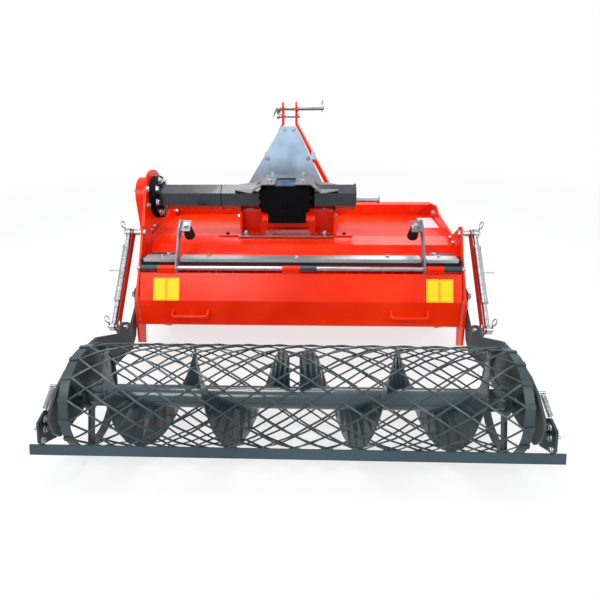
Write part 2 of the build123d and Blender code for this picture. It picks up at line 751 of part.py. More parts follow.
SCRAPER_HALF = ARM_OUT + 93
SCRAPER_T = 6.0
SCRAPER_TOP = (-(ROLLER_R + 2.5), ROLLER_R - 57)
SCRAPER_LOW = (-(ROLLER_R + 16), ROLLER_R - 91)


def scraper_bar():
    """Flat bar along the roller, its lower edge leaning away from it."""
    return slab(strip([SCRAPER_LOW, SCRAPER_TOP], SCRAPER_T), -SCRAPER_HALF, SCRAPER_HALF)


def bracket_plate():
    """Plate outside each rear lobe, standing on the scraper bar."""
    y, z = SCRAPER_TOP
    outline = [
        (-140, 242), (-190, 230), (y - 11.5, z + 22), (y - 3.5, z), (y + 6.5, z - 3), (y + 30.5, z - 13),
        (-130, 107), (-106, 120), (-106, 178), (-122, 228)]
    return slab(outline, ARM_OUT + 43, ARM_OUT + 51)


def scraper_brackets():
    """Plates carrying the scraper bar, each on a distance tube from the arm's rear lobe."""
    tube = disc(-135, 190, 16, ARM_OUT + ARM_T / 2, ARM_OUT + 44)
    return both(bracket_plate() + tube - scraper_bar())


def scraper_springs():
    """Solid core of the coil over each bracket, and the stud it hangs from."""
    x = ARM_OUT
    coil = rod_between((x + 17, -98, 318), (x + 46, -138, 248), 8)
    stud = disc(-98, 318, 5, x + ARM_T / 2, x + 27)
    return both(coil + stud - bracket_plate())


# Roller.

def roller_axle():
    z = ROLLER_R
    tube = disc(0, z, AXLE_R, -ROLLER_HALF + 14, ROLLER_HALF - 14)
    tube -= disc(0, z, AXLE_R - 6, -ROLLER_HALF + 20, ROLLER_HALF - 20)
    ends = disc(0, z, STUB_R, ROLLER_HALF - 20, ARM_OUT + 12)
    return tube + ends + mirrored(ends)


def roller_hoops():
    z = ROLLER_R
    r = (ROLLER_R - CAGE_T) * math.cos(math.pi / CAGE_SIDES) - 0.02
    hoop = ring(0, z, r, r - HOOP_T, ROLLER_HALF - HOOP_W, ROLLER_HALF)
    spoke_x = (ROLLER_HALF - 24, ROLLER_HALF - 14)
    hub = ring(0, z, AXLE_R + 16, AXLE_R, *spoke_x)
    out = hoop + hub
    for deg in (-117, 3, 123):
        c = math.radians(deg)
        bar = slab([(AXLE_R + 6, z - 17), (r - 2, z - 17), (r - 2, z + 17), (AXLE_R + 6, z + 17)], *spoke_x)
        out += bar.rotate(Axis((0, 0, z), (1, 0, 0)), deg)
    return both(out)


FLIGHT_R = ROLLER_R - CAGE_T - 8.0


def helix_blade():
    """Blade of one half, lofted as quads: solid between X and X + FLIGHT_T."""
    per_turn = 16
    count = round(FLIGHT_TURNS * per_turn)
    z = ROLLER_R
    faces = []
    rings = []
    for k in range(count + 1):
        a = math.radians(FLIGHT_START) - 2 * math.pi * k / per_turn
        x = FLIGHT_X0 + FLIGHT_PITCH * k / per_turn
        c, s = math.cos(a), math.sin(a)
        ri, ro = AXLE_R, FLIGHT_R
        rings.append([
            Vector(x, ri * c, z + ri * s), Vector(x, ro * c, z + ro * s),
            Vector(x + FLIGHT_T, ro * c, z + ro * s), Vector(x + FLIGHT_T, ri * c, z + ri * s)])
    def tri(a, b, c):
        faces.append(Face(Wire.make_polygon([a, b, c], close=True)))
    for p, q in zip(rings, rings[1:]):
        for i in range(4):
            j = (i + 1) % 4
            tri(p[i], p[j], q[j])
            tri(p[i], q[j], q[i])
    for r in (rings[0], rings[-1]):
        faces.append(Face(Wire.make_polygon(r, close=True)))
    return Solid(Shell(faces))


def roller_blades():
    blade = helix_blade()
    if blade.volume < 0:
        blade = Solid(blade.wrapped.Reversed())
    blade = Part() + blade
    blade = blade - disc(0, ROLLER_R, AXLE_R, -20, ROLLER_HALF)
    return both(blade)


def roller_cage():
    """Expanded-metal tube: a many-sided shell cut by rows of diamond windows."""
    z = ROLLER_R
    n = CAGE_SIDES
    outer = ROLLER_R
    inner = ROLLER_R - CAGE_T
    def prism(r):
        turns = [2 * math.pi * k / n for k in range(n)]
        return slab([(r * math.cos(a), z + r * math.sin(a)) for a in turns], -ROLLER_HALF, ROLLER_HALF)
    shell = prism(outer) - prism(inner)
    pitch = 2 * ROLLER_HALF / CAGE_CELLS
    rise = outer * 2 * math.pi / n
    w, h = pitch / 2 - CAGE_STRAND, rise - CAGE_STRAND * 0.62
    cutters = []
    for k in range(n):
        a = 2 * math.pi * k / n
        shift = 0.5 if k % 2 else 0.0
        cells = CAGE_CELLS - (1 if k % 2 else 0)
        for c in range(cells):
            x = -ROLLER_HALF + pitch * (c + 0.5 + shift)
            diamond = make_face(Polyline((x - w, 0), (x, -h), (x + w, 0), (x, h), close=True))
            plane = Plane(origin=(0, 0, z), x_dir=(1, 0, 0), z_dir=(0, math.cos(a), math.sin(a)))
            cutter = extrude(plane.offset(ROLLER_R - 30) * diamond, amount=50)
            cutters.append(cutter)
    return shell.cut(*[s for c in cutters for s in c.solids()])


def main():
    os.makedirs("parts", exist_ok=True)
    nodes = {
        "hood_shell": hood_shell(),
        "side_plate_left": side_plate(-1),
        "side_plate_right": side_plate(1),
        "cross_tube": cross_tube(),
        "corner_gussets": corner_gussets(),
        "hinge_bar": hinge_bar(),
        "rubber_strip": rubber_strip(),
        "hinge_rod": hinge_rod(),
        "hinge_sleeves": hinge_sleeves(False),
        "door_panel": door_panel(),
        "door_sleeves": hinge_sleeves(True),
        "door_handles": door_handles(),
        "stop_arms": stop_arms(),
        "stop_buffers": stop_buffers(),
        "gearbox": gearbox(),
        "gearbox_saddle": gearbox_saddle(),
        "gearbox_bridge": gearbox_bridge(),
        "gearbox_guard": gearbox_guard(),
        "pto_shaft": pto_shaft(),
        "drive_tube_left": drive_tube_left(),
        "support_tube_right": support_tube_right(),
        "drive_flange": drive_flange(),
        "stowed_pin": stowed_pin(),
        "gear_case": gear_case(),
        "rotor_bearing": rotor_bearing(),
        "hitch_mast": hitch_mast(),
        "mast_brace": mast_brace(),
        "top_link_pin": top_link_pin(),
        "lower_mast_pin": lower_mast_pin(),
        "pto_shield": pto_shield(),
        "link_brackets": link_brackets(),
        "lower_link_pins": lower_link_pins(),
        "stone_grille": stone_grille(),
        "rotor_shaft": rotor_shaft(),
        "rotor_flanges": rotor_flanges(),
        "arm_left": mirrored(roller_arm()),
        "arm_right": roller_arm(),
        "arm_pivot_pins": arm_pivot_pins(),
        "adjuster_top_pins": adjuster_top_pins(),
        "adjuster_low_pins": adjuster_low_pins(),
        "adjuster_barrel_left": place_adjuster(adjuster_barrel(), -1),
        "adjuster_barrel_right": place_adjuster(adjuster_barrel(), 1),
        "adjuster_rod_left": place_adjuster(adjuster_rod(), -1),
        "adjuster_rod_right": place_adjuster(adjuster_rod(), 1),
        "adjuster_strap_left": place_adjuster(adjuster_strap(), -1),
        "adjuster_strap_right": place_adjuster(adjuster_strap(), 1),
        "roller_bearings": roller_bearings(),
        "scraper_bar": scraper_bar(),
        "scraper_brackets": scraper_brackets(),
        "scraper_springs": scraper_springs(),
        "roller_axle": roller_axle(),
        "roller_hoops": roller_hoops(),
        "roller_blades": roller_blades(),
        "roller_cage": roller_cage(),
    }
    for node, shape in nodes.items():
        save(node, shape)


if __name__ == "__main__":
    main()
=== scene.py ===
import json
import math

import bmesh
import bpy
from mathutils import Matrix, Vector


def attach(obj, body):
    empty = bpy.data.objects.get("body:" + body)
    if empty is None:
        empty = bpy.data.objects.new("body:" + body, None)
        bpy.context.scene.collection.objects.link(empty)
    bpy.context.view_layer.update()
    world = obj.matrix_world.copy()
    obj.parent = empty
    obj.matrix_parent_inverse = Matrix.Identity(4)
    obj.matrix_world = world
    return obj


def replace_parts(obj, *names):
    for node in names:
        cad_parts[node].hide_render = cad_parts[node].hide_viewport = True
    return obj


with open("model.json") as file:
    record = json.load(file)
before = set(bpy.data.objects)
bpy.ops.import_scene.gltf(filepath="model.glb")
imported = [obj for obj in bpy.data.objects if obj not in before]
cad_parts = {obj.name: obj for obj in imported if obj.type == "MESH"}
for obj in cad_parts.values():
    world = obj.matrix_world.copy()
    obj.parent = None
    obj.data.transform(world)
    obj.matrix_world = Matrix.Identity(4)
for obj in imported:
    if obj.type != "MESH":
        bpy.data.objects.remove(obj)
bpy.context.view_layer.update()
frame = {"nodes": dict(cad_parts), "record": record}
NODES = frame["nodes"]

# The roller, in metres: its axle's place, radius and half length, then its mesh's count of cells and sides.
ROLLER_Y, ROLLER_Z = -0.612, 0.200
ROLLER_R = 0.200
ROLLER_HALF = 0.795
CAGE_CELLS = 13
CAGE_SIDES = 32


# ---------------------------------------------------------------- materials

# Paint: where its three tones sit in the slow noise, then mottle, gloss, clear coat and orange peel.
TONE_STOPS = (0.32, 0.50, 0.70)
MOTTLE_SCALE, MOTTLE_FROM, MOTTLE_TO, MOTTLE_MOST = 55, 0.42, 0.75, 0.10
GLOSS_SCALE, GLOSS_FROM, GLOSS_TO = 9, 0.3, 0.7
COAT_ROUGHNESS = 0.06
PEEL_STRENGTH, PEEL_DEPTH = 0.06, 0.0006

# Metal: its drawn grain, and the spangle of galvanised sheet.
GRAIN_SCALE, GRAIN_DARK, GRAIN_LIGHT = 3.0, 0.30, 0.72
GRAIN_STRENGTH, GRAIN_DEPTH = 0.05, 0.0004
SPANGLE_SCALE = 30


def new_material(name):
    m = bpy.data.materials.new(name)
    m.use_nodes = True
    nt = m.node_tree
    nt.nodes.clear()
    out = nt.nodes.new("ShaderNodeOutputMaterial")
    bsdf = nt.nodes.new("ShaderNodeBsdfPrincipled")
    nt.links.new(bsdf.outputs[0], out.inputs[0])
    return m, nt, bsdf


def noise(nt, coord, scale, detail, rough=0.55):
    n = nt.nodes.new("ShaderNodeTexNoise")
    n.inputs["Scale"].default_value = scale
    n.inputs["Detail"].default_value = detail
    n.inputs["Roughness"].default_value = rough
    nt.links.new(coord, n.inputs["Vector"])
    return n.outputs[0]


def ramp(nt, fac, stops):
    """Colour ramp through (position, colour) stops."""
    r = nt.nodes.new("ShaderNodeValToRGB")
    first, last = r.color_ramp.elements
    for element, (position, color) in ((first, stops[0]), (last, stops[-1])):
        element.position = position
        element.color = (*color, 1)
    for position, color in stops[1:-1]:
        r.color_ramp.elements.new(position).color = (*color, 1)
    nt.links.new(fac, r.inputs[0])
    return r.outputs[0]


def map_range(nt, value, from_min, from_max, to_min, to_max):
    n = nt.nodes.new("ShaderNodeMapRange")
    for socket, v in zip(n.inputs[1:5], (from_min, from_max, to_min, to_max)):
        socket.default_value = v
    nt.links.new(value, n.inputs[0])
    return n.outputs[0]


def mix_color(nt, fac, color, plain):
    """Mix a linked colour with a plain one."""
    n = nt.nodes.new("ShaderNodeMix")
    n.data_type = "RGBA"
    nt.links.new(fac, n.inputs[0])
    nt.links.new(color, n.inputs[6])
    n.inputs[7].default_value = (*plain, 1)
    return n.outputs[2]


def bump(nt, height, strength, distance):
    b = nt.nodes.new("ShaderNodeBump")
    b.inputs["Strength"].default_value = strength
    b.inputs["Distance"].default_value = distance
    nt.links.new(height, b.inputs["Height"])
    return b.outputs[0]


def painted(name, dark, mid, light, rough, coat=0.0, spec=0.5, speck=220, drift=2.2):
    """Sprayed paint: slow tone drift, a trace of fine mottle and orange peel."""
    m, nt, bsdf = new_material(name)
    place = nt.nodes.new("ShaderNodeTexCoord").outputs["Object"]
    color = ramp(nt, noise(nt, place, drift, 2), list(zip(TONE_STOPS, (dark, mid, light))))
    mottle = map_range(nt, noise(nt, place, MOTTLE_SCALE, 3), MOTTLE_FROM, MOTTLE_TO, 0.0, MOTTLE_MOST)
    nt.links.new(mix_color(nt, mottle, color, light), bsdf.inputs["Base Color"])
    gloss = map_range(nt, noise(nt, place, GLOSS_SCALE, 3), GLOSS_FROM, GLOSS_TO, *rough)
    nt.links.new(gloss, bsdf.inputs["Roughness"])
    bsdf.inputs["Specular IOR Level"].default_value = spec
    bsdf.inputs["Coat Weight"].default_value = coat
    bsdf.inputs["Coat Roughness"].default_value = COAT_ROUGHNESS
    nt.links.new(bump(nt, noise(nt, place, speck, 2), PEEL_STRENGTH, PEEL_DEPTH), bsdf.inputs["Normal"])
    return m


def bare_metal(name, dark, light, rough, scale=(8, 8, 160), metallic=1.0, spangle=0.0):
    """Bare or plated steel: faint drawn grain along the part, spangle on galvanised sheet."""
    m, nt, bsdf = new_material(name)
    place = nt.nodes.new("ShaderNodeTexCoord").outputs["Object"]
    mapping = nt.nodes.new("ShaderNodeMapping")
    mapping.inputs["Scale"].default_value = scale
    nt.links.new(place, mapping.inputs["Vector"])
    grain = noise(nt, mapping.outputs[0], GRAIN_SCALE, 4, 0.5)
    color = ramp(nt, grain, [(GRAIN_DARK, dark), (GRAIN_LIGHT, light)])
    if spangle:
        cells = nt.nodes.new("ShaderNodeTexVoronoi")
        cells.inputs["Scale"].default_value = SPANGLE_SCALE
        nt.links.new(place, cells.inputs["Vector"])
        split = nt.nodes.new("ShaderNodeSeparateColor")
        nt.links.new(cells.outputs["Color"], split.inputs[0])
        color = mix_color(nt, map_range(nt, split.outputs[0], 0, 1, 0.0, spangle), color, light)
    nt.links.new(color, bsdf.inputs["Base Color"])
    bsdf.inputs["Metallic"].default_value = metallic
    nt.links.new(map_range(nt, grain, GLOSS_FROM, GLOSS_TO, *rough), bsdf.inputs["Roughness"])
    nt.links.new(bump(nt, grain, GRAIN_STRENGTH, GRAIN_DEPTH), bsdf.inputs["Normal"])
    return m


# Each paint: its dark, middle and light tone, then the range of its roughness.
RED = painted("paint_vermilion", (0.66, 0.012, 0.0006), (0.80, 0.022, 0.0008), (0.92, 0.040, 0.0015),
              rough=(0.20, 0.30), coat=0.04, spec=0.17)
DARK = painted("paint_blue_grey", (0.012, 0.024, 0.030), (0.019, 0.037, 0.045), (0.032, 0.056, 0.066),
               rough=(0.34, 0.46), spec=0.45)
SCRAPER = painted("paint_scraper", (0.026, 0.050, 0.066), (0.034, 0.064, 0.084), (0.044, 0.078, 0.098),
                  rough=(0.36, 0.46), spec=0.35)
AXLE = painted("paint_axle", (0.016, 0.038, 0.050), (0.023, 0.052, 0.066), (0.036, 0.070, 0.086),
               rough=(0.18, 0.26), spec=0.5, coat=0.55)
# The blades: the roller's blue-grey made darker, painted shade inside the mesh cage.
BLADE_SHADED = painted("paint_blade_shaded", (0.007, 0.016, 0.021), (0.011, 0.025, 0.032), (0.022, 0.043, 0.052),
                rough=(0.28, 0.38), spec=0.40, coat=0.15)
ARM = painted("paint_arm_grey", (0.019, 0.029, 0.034), (0.028, 0.040, 0.046), (0.044, 0.059, 0.066),
              rough=(0.36, 0.48), spec=0.32)
GREY = painted("paint_grey", (0.10, 0.105, 0.115), (0.16, 0.165, 0.175), (0.25, 0.255, 0.26),
               rough=(0.28, 0.38), spec=0.6, coat=0.1)
BLACK = painted("paint_black", (0.0012, 0.0013, 0.002), (0.0022, 0.0024, 0.0034), (0.006, 0.0065, 0.008),
                rough=(0.38, 0.55), spec=0.06)
# The straps' red: the vermilion paint made darker, painted shade where they sit behind the barrels.
STRAP_SHADED_RED = painted("paint_strap_red_shaded", (0.28, 0.007, 0.003), (0.38, 0.011, 0.004), (0.50, 0.020, 0.006),
                    rough=(0.30, 0.42), spec=0.15)
TUBE_PAINT = painted("paint_tube", (0.008, 0.012, 0.018), (0.012, 0.017, 0.025), (0.022, 0.029, 0.040),
                     rough=(0.22, 0.32), spec=0.40, coat=0.28)
GUARD = painted("paint_guard", (0.055, 0.058, 0.062), (0.078, 0.082, 0.086), (0.11, 0.115, 0.12),
                rough=(0.30, 0.42), spec=0.55)
RUBBER = painted("rubber_black", (0.004, 0.004, 0.005), (0.007, 0.007, 0.008), (0.014, 0.014, 0.015),
                 rough=(0.55, 0.72), spec=0.3, speck=420)
YELLOW = painted("sticker_yellow", (0.84, 0.57, 0.002), (0.90, 0.62, 0.003), (0.93, 0.68, 0.006),
                 rough=(0.36, 0.48), spec=0.25)
PALE = painted("plate_pale", (0.50, 0.52, 0.56), (0.60, 0.62, 0.66), (0.70, 0.72, 0.76), rough=(0.28, 0.42))
BLUE_PLATE = painted("plate_blue", (0.014, 0.026, 0.060), (0.024, 0.040, 0.088), (0.07, 0.10, 0.18),
                     rough=(0.36, 0.48), spec=0.10, drift=28)
GREEN = painted("cap_green", (0.010, 0.20, 0.06), (0.016, 0.30, 0.09), (0.05, 0.42, 0.16), rough=(0.3, 0.4))
ZINC = bare_metal("zinc_plated", (0.30, 0.32, 0.34), (0.50, 0.52, 0.54), rough=(0.26, 0.38),
                  scale=(3, 40, 40))
GALV = bare_metal("galvanised_sheet", (0.33, 0.50, 0.66), (0.50, 0.68, 0.84), rough=(0.34, 0.46),
                  scale=(3, 3, 4), metallic=0.55, spangle=0.35)
STEEL = bare_metal("bar_steel", (0.26, 0.27, 0.28), (0.46, 0.47, 0.48), rough=(0.24, 0.36))
BRIGHT = bare_metal("bright_bar", (0.44, 0.46, 0.48), (0.58, 0.60, 0.62), rough=(0.30, 0.38),
                    scale=(2, 60, 60), metallic=0.80)

# Material by the record's slot, and the nodes that look unlike the rest of their slot.
LOOK = {
    "rubber": RUBBER, "zinc": ZINC, "galvanised": GALV, "worn_steel": STEEL, "grey_paint": GREY,
    "black_paint": BLACK, "dark_paint": DARK, "red_paint": RED,
}
SPECIAL = {
    "scraper_bar": SCRAPER, "arm_left": ARM, "arm_right": ARM, "hinge_bar": BRIGHT,
    "drive_tube_left": TUBE_PAINT, "support_tube_right": TUBE_PAINT, "gearbox_guard": GUARD,
    # The straps take the darker red with painted shade.
    "adjuster_strap_left": STRAP_SHADED_RED, "adjuster_strap_right": STRAP_SHADED_RED,
    # The blades take the darker blue-grey with painted shade.
    "roller_axle": AXLE, "roller_blades": BLADE_SHADED,
}
slots = {s["node"]: s["material_slot"] for s in frame["record"]["subparts"]}
for name, obj in NODES.items():
    obj.data.materials.clear()
    obj.data.materials.append(SPECIAL.get(name) or LOOK[slots[name]])


# ------------------------------------------------------------- mesh helpers

UP, FORWARD, REAR = Vector((0, 0, 1)), Vector((0, 1, 0)), Vector((0, -1, 0))
LEFT, RIGHT = Vector((-1, 0, 0)), Vector((1, 0, 0))
SAME_POINT = 1e-7
BEVEL_ANGLE = math.radians(35)
NEARLY_UPRIGHT = 0.95
CORNER_STEPS = 5
SQUARE = ((-1, -1), (1, -1), (1, 1), (-1, 1))

# A bolt's hex head on its washer, as shares of the thread's radius, and the washer's thickness in metres.
WASHER_FOOT, WASHER_WIDEST, WASHER_TOP = 2.1, 2.15, 2.0
WASHER_EDGE, WASHER_THICK = 0.0006, 0.0022
HEAD_R, HEAD_FLAT, HEAD_HIGH, CROWN_SHARE = 1.75, 0.95, 1.2, 0.88
HEAD_START, HEAD_TURN = 30, 17


def make(name, bm, mat, body, smooth=None, bevel=0.0):
    """Finish a piece: mesh, material, smooth shading below an angle, bevel, and the body that it rides on."""
    bmesh.ops.remove_doubles(bm, verts=bm.verts, dist=SAME_POINT)
    bmesh.ops.recalc_face_normals(bm, faces=bm.faces)
    me = bpy.data.meshes.new(name)
    bm.to_mesh(me)
    bm.free()
    me.materials.append(mat)
    ob = bpy.data.objects.new(name, me)
    bpy.context.scene.collection.objects.link(ob)
    if smooth is not None:
        for p in me.polygons:
            p.use_smooth = True
        me.set_sharp_from_angle(angle=math.radians(smooth))
    if bevel:
        b = ob.modifiers.new("bevel", "BEVEL")
        b.width = bevel
        b.segments = 2
        b.limit_method = "ANGLE"
        b.angle_limit = BEVEL_ANGLE
    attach(ob, body)
    return ob


def skin(bm, rings, closed=False):
    """Faces between neighbouring rings of points, with a cap on each open end."""
    rings = [[bm.verts.new(p) for p in ring] for ring in rings]
    pairs = list(zip(rings, rings[1:]))
    if closed:
        pairs.append((rings[-1], rings[0]))
    for a, b in pairs:
        for k in range(len(a)):
            j = (k + 1) % len(a)
            bm.faces.new((a[k], a[j], b[j], b[k]))
    if not closed:
        bm.faces.new(rings[0][::-1])
        bm.faces.new(rings[-1])


def turns(count, start=0.0):
    """Angles of a full turn in equal steps."""
    return [start + 2 * math.pi * k / count for k in range(count)]


def axes(direction):
    """Matrix whose local z is the given direction."""
    z = Vector(direction).normalized()
    up = RIGHT if abs(z.dot(UP)) > NEARLY_UPRIGHT else UP
    x = up.cross(z).normalized()
    return Matrix((x, z.cross(x), z)).transposed()


def lathe(bm, place, direction, profile, steps):
    """Turned solid from a (radius, height) profile along the direction."""
    m = axes(direction)
    skin(bm, [[place + m @ Vector((r * math.cos(a), r * math.sin(a), h)) for a in turns(steps)]
              for r, h in profile])


def bolt(bm, place, direction, size, spin):
    """Hex head with a chamfered crown on a washer; size is the thread's radius."""
    lathe(bm, place, direction, [(size * WASHER_FOOT, 0), (size * WASHER_WIDEST, WASHER_EDGE),
                                 (size * WASHER_TOP, WASHER_THICK)], steps=20)
    m = axes(direction)
    start = math.radians(HEAD_START + spin)
    rings = []
    for share, height in ((1.0, 0.0), (1.0, HEAD_FLAT), (CROWN_SHARE, HEAD_HIGH)):
        r, h = size * HEAD_R * share, WASHER_THICK + size * height
        rings.append([place + m @ Vector((r * math.cos(a), r * math.sin(a), h)) for a in turns(6, start)])
    skin(bm, rings)


def rod(bm, points, r, steps, closed=False):
    """Round bar along a chain of points."""
    n = len(points)
    rings = []
    last = None
    for i, p in enumerate(points):
        before = points[(i - 1) % n] if (closed or i) else p
        after = points[(i + 1) % n] if (closed or i + 1 < n) else p
        d = (after - before).normalized()
        x = (d.orthogonal() if last is None else last - d * last.dot(d)).normalized()
        y = d.cross(x)
        rings.append([p + (x * math.cos(a) + y * math.sin(a)) * r for a in turns(steps)])
        last = x
    skin(bm, rings, closed)


def round_plate(bm, centre, v, w, h, r, thick):
    """Rounded rectangle, w across by h along v, standing thick on its seat."""
    n = RIGHT.cross(v).normalized() * thick
    ring = []
    for sx, sy, quarter in ((1, 1, 0), (-1, 1, 1), (-1, -1, 2), (1, -1, 3)):
        for k in range(CORNER_STEPS + 1):
            a = math.pi / 2 * (quarter + k / CORNER_STEPS)
            ring.append(centre + RIGHT * (sx * (w / 2 - r) + r * math.cos(a))
                        + v * (sy * (h / 2 - r) + r * math.sin(a)))
    skin(bm, [ring, [p + n for p in ring]])


# ---------------------------------------------------------------- the roller

# Metres. The strands end on the inner edge of each hoop, and their ends are folded over it.
MESH_HALF = ROLLER_HALF - 0.032
STRAND_DEPTH = 0.0052
STRAND_HALF_W, STRAND_HALF_T = 0.0031, 0.0020
STRAND_STEPS, STRAND_LIFT, STRAND_TILT = 6, 0.0019, 0.35
TAB_LOW, TAB_HIGH = 0.1922, 0.1990
TAB_STATIONS = ((MESH_HALF - 0.004, 0.0040), (MESH_HALF + 0.010, 0.0075), (ROLLER_HALF, 0.0085))


def cage_strand(bm, first, family):
    """One flat strand along the roller, turning one way and lifting over the others at each knuckle."""
    rows = []
    for i in range(CAGE_CELLS * STRAND_STEPS + 1):
        t = i / STRAND_STEPS
        a = 2 * math.pi * (first + 1 + family * t * 2) / CAGE_SIDES
        r = ROLLER_R - STRAND_DEPTH + family * STRAND_LIFT * math.cos(2 * math.pi * t)
        x = -MESH_HALF + 2 * MESH_HALF / CAGE_CELLS * t
        rows.append((a, Vector((x, ROLLER_Y + r * math.cos(a), ROLLER_Z + r * math.sin(a)))))
    tilt = family * STRAND_TILT
    rings = []
    for i, (a, p) in enumerate(rows):
        d = (rows[min(i + 1, len(rows) - 1)][1] - rows[max(i - 1, 0)][1]).normalized()
        out = Vector((0, math.cos(a), math.sin(a)))
        side = d.cross(out).normalized()
        wide = (side * math.cos(tilt) + out * math.sin(tilt)) * STRAND_HALF_W
        deep = (out * math.cos(tilt) - side * math.sin(tilt)) * STRAND_HALF_T
        rings.append([p + wide * u + deep * w for u, w in SQUARE])
    skin(bm, rings)


def cage_wire():
    """Expanded mesh: flat strands that cross at knuckles, one layer stepping over the other."""
    bm = bmesh.new()
    for family in (1, -1):
        for first in range(0, CAGE_SIDES, 2):
            cage_strand(bm, first, family)
    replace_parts(make("cage_mesh", bm, DARK, "roller"), "roller_cage")


def hoop_tabs():
    """Ends of the mesh strands, folded flat over each end hoop where two of them meet."""
    bm = bmesh.new()
    for side in (-1, 1):
        for a in turns(CAGE_SIDES // 2, 2 * math.pi / CAGE_SIDES):
            across = Vector((0, -math.sin(a), math.cos(a)))
            out = Vector((0, math.cos(a), math.sin(a)))
            skin(bm, [[Vector((side * x, ROLLER_Y, ROLLER_Z)) + across * (u * half) + out * r
                       for u, r in ((-1, TAB_LOW), (1, TAB_LOW), (1, TAB_HIGH), (-1, TAB_HIGH))]
                      for x, half in TAB_STATIONS])
    make("hoop_tabs", bm, DARK, "roller", bevel=0.0008)


cage_wire()
hoop_tabs()


# ------------------------------------------------------- plates, bolts, clips
# Places below are in millimetres: across from the middle, forward of the roller's axle, above the ground.
# Sizes of threads are in millimetres too; thicknesses, radii of wires and bevels are in metres.

DRIVE_YZ, ROTOR_YZ = (965, 719), (965, 260)
DRIVE_Y = DRIVE_YZ[0]
SIDES = (-1, 1)


def at(x, y, z):
    return Vector((x / 1000, ROLLER_Y + y / 1000, z / 1000))


def blocks(name, rows, mat, body, bevel=0.0012):
    """Plain blocks, each from x0 to x1, y0 to y1 and z0 to z1."""
    bm = bmesh.new()
    for x0, x1, y0, y1, z0, z1 in rows:
        skin(bm, [[at(x, y, z) for x, y in ((x0, y0), (x1, y0), (x1, y1), (x0, y1))] for z in (z0, z1)])
    return make(name, bm, mat, body, bevel=bevel)


def bolts(name, rows, mat=ZINC, body="hood"):
    """Rows of (place, direction, thread's diameter)."""
    bm = bmesh.new()
    for n, (place, way, thread) in enumerate(rows):
        bolt(bm, at(*place), way, thread / 2000, spin=HEAD_TURN * n)
    return make(name, bm, mat, body, smooth=32)


def around(centre, r, x, count, first=0.0):
    """Places on a circle about an axis along X; the first is at an angle in degrees."""
    y, z = centre
    return [(x, y + r * math.cos(a), z + r * math.sin(a)) for a in turns(count, math.radians(first))]


# Spring clip: its cross pin below and above the pin's middle, the foot of its hoop, and how far that leans.
CLIP_BELOW, CLIP_ABOVE, CLIP_FOOT = 20, 24, 22
CLIP_PIN_R, CLIP_WIRE_R, CLIP_LEAN = 0.0038, 0.0030, 0.35


def linch(bm, x, y, z, side, r):
    """Spring clip through a pin's end: a short cross pin and its hoop swung to one side."""
    rod(bm, [at(x, y, z - CLIP_BELOW), at(x, y, z + CLIP_ABOVE)], CLIP_PIN_R, steps=8)
    r = r / 1000
    c = at(x, y, z + CLIP_FOOT) + Vector((side * CLIP_LEAN * r, 0, r))
    u = Vector((side * math.sin(CLIP_LEAN), 0, math.cos(CLIP_LEAN)))
    rod(bm, [c + (u * math.cos(t) + FORWARD * math.sin(t)) * r for t in turns(20)], CLIP_WIRE_R, steps=8,
        closed=True)


# Blank plates: two on each end of the door's upper face, which runs from its top edge to its bend, one on the
# hood and one on the gearbox.
DOOR_TOP, DOOR_BEND = (563, 463), (498, 350)
WARNING_X = (-651, -589, 612.5, 674.5)
WARNING_SIZE, WARNING_CORNER, WARNING_THICK, WARNING_DROP = (0.0595, 0.106), 0.005, 0.0007, 0.0765
BORDER_HALF_W, BORDER_HALF_H, BORDER_CUT, BORDER_R = 0.0255, 0.0485, 0.06, 0.0005

slope = Vector((0, DOOR_TOP[0] - DOOR_BEND[0], DOOR_TOP[1] - DOOR_BEND[1])).normalized()
middles = [at(x, *DOOR_TOP) - slope * WARNING_DROP for x in WARNING_X]
bm = bmesh.new()
for middle in middles:
    round_plate(bm, middle, slope, *WARNING_SIZE, WARNING_CORNER, WARNING_THICK)
make("warning_plates", bm, YELLOW, "door")

bm = bmesh.new()
for middle in middles:
    seat = middle + RIGHT.cross(slope) * WARNING_THICK
    corners = [seat + RIGHT * (u * BORDER_HALF_W) + slope * (v * BORDER_HALF_H) for u, v in SQUARE]
    line = []
    for a, b in zip(corners, corners[1:] + corners[:1]):
        line += [a.lerp(b, BORDER_CUT), a.lerp(b, 1 - BORDER_CUT)]
    rod(bm, line, BORDER_R, steps=6, closed=True)
make("plate_borders", bm, BLACK, "door")

for name, centre, w, h, corner, thick, mat in (
        ("hood_plate", (700, 1106, 540), 0.086, 0.182, 0.003, 0.001, PALE),
        ("gearbox_plate", (-76, 925, 800), 0.092, 0.152, 0.004, 0.0014, BLUE_PLATE)):
    bm = bmesh.new()
    round_plate(bm, at(*centre), FORWARD, w, h, corner, thick)
    make(name, bm, mat, "hood")

# Gearbox guard, and the saddle that the gearbox stands on.
GUARD_TOP, GUARD_TABS_TOP = 808, 812
GEARBOX_X, GEARBOX_ENDS = -76, (-200, 44)
SIDE_PLUG_Y, SIDE_PLUG_HEIGHTS = 872, (766, 737, 700)
SEAT_Z, SEAT_TABS_Z, RAIL_TOP, SADDLE_TOP = 540, 545, 548, 550
SADDLE_BOLT_X, SADDLE_BOLT_Y = (-288, 118), (899, 1050)

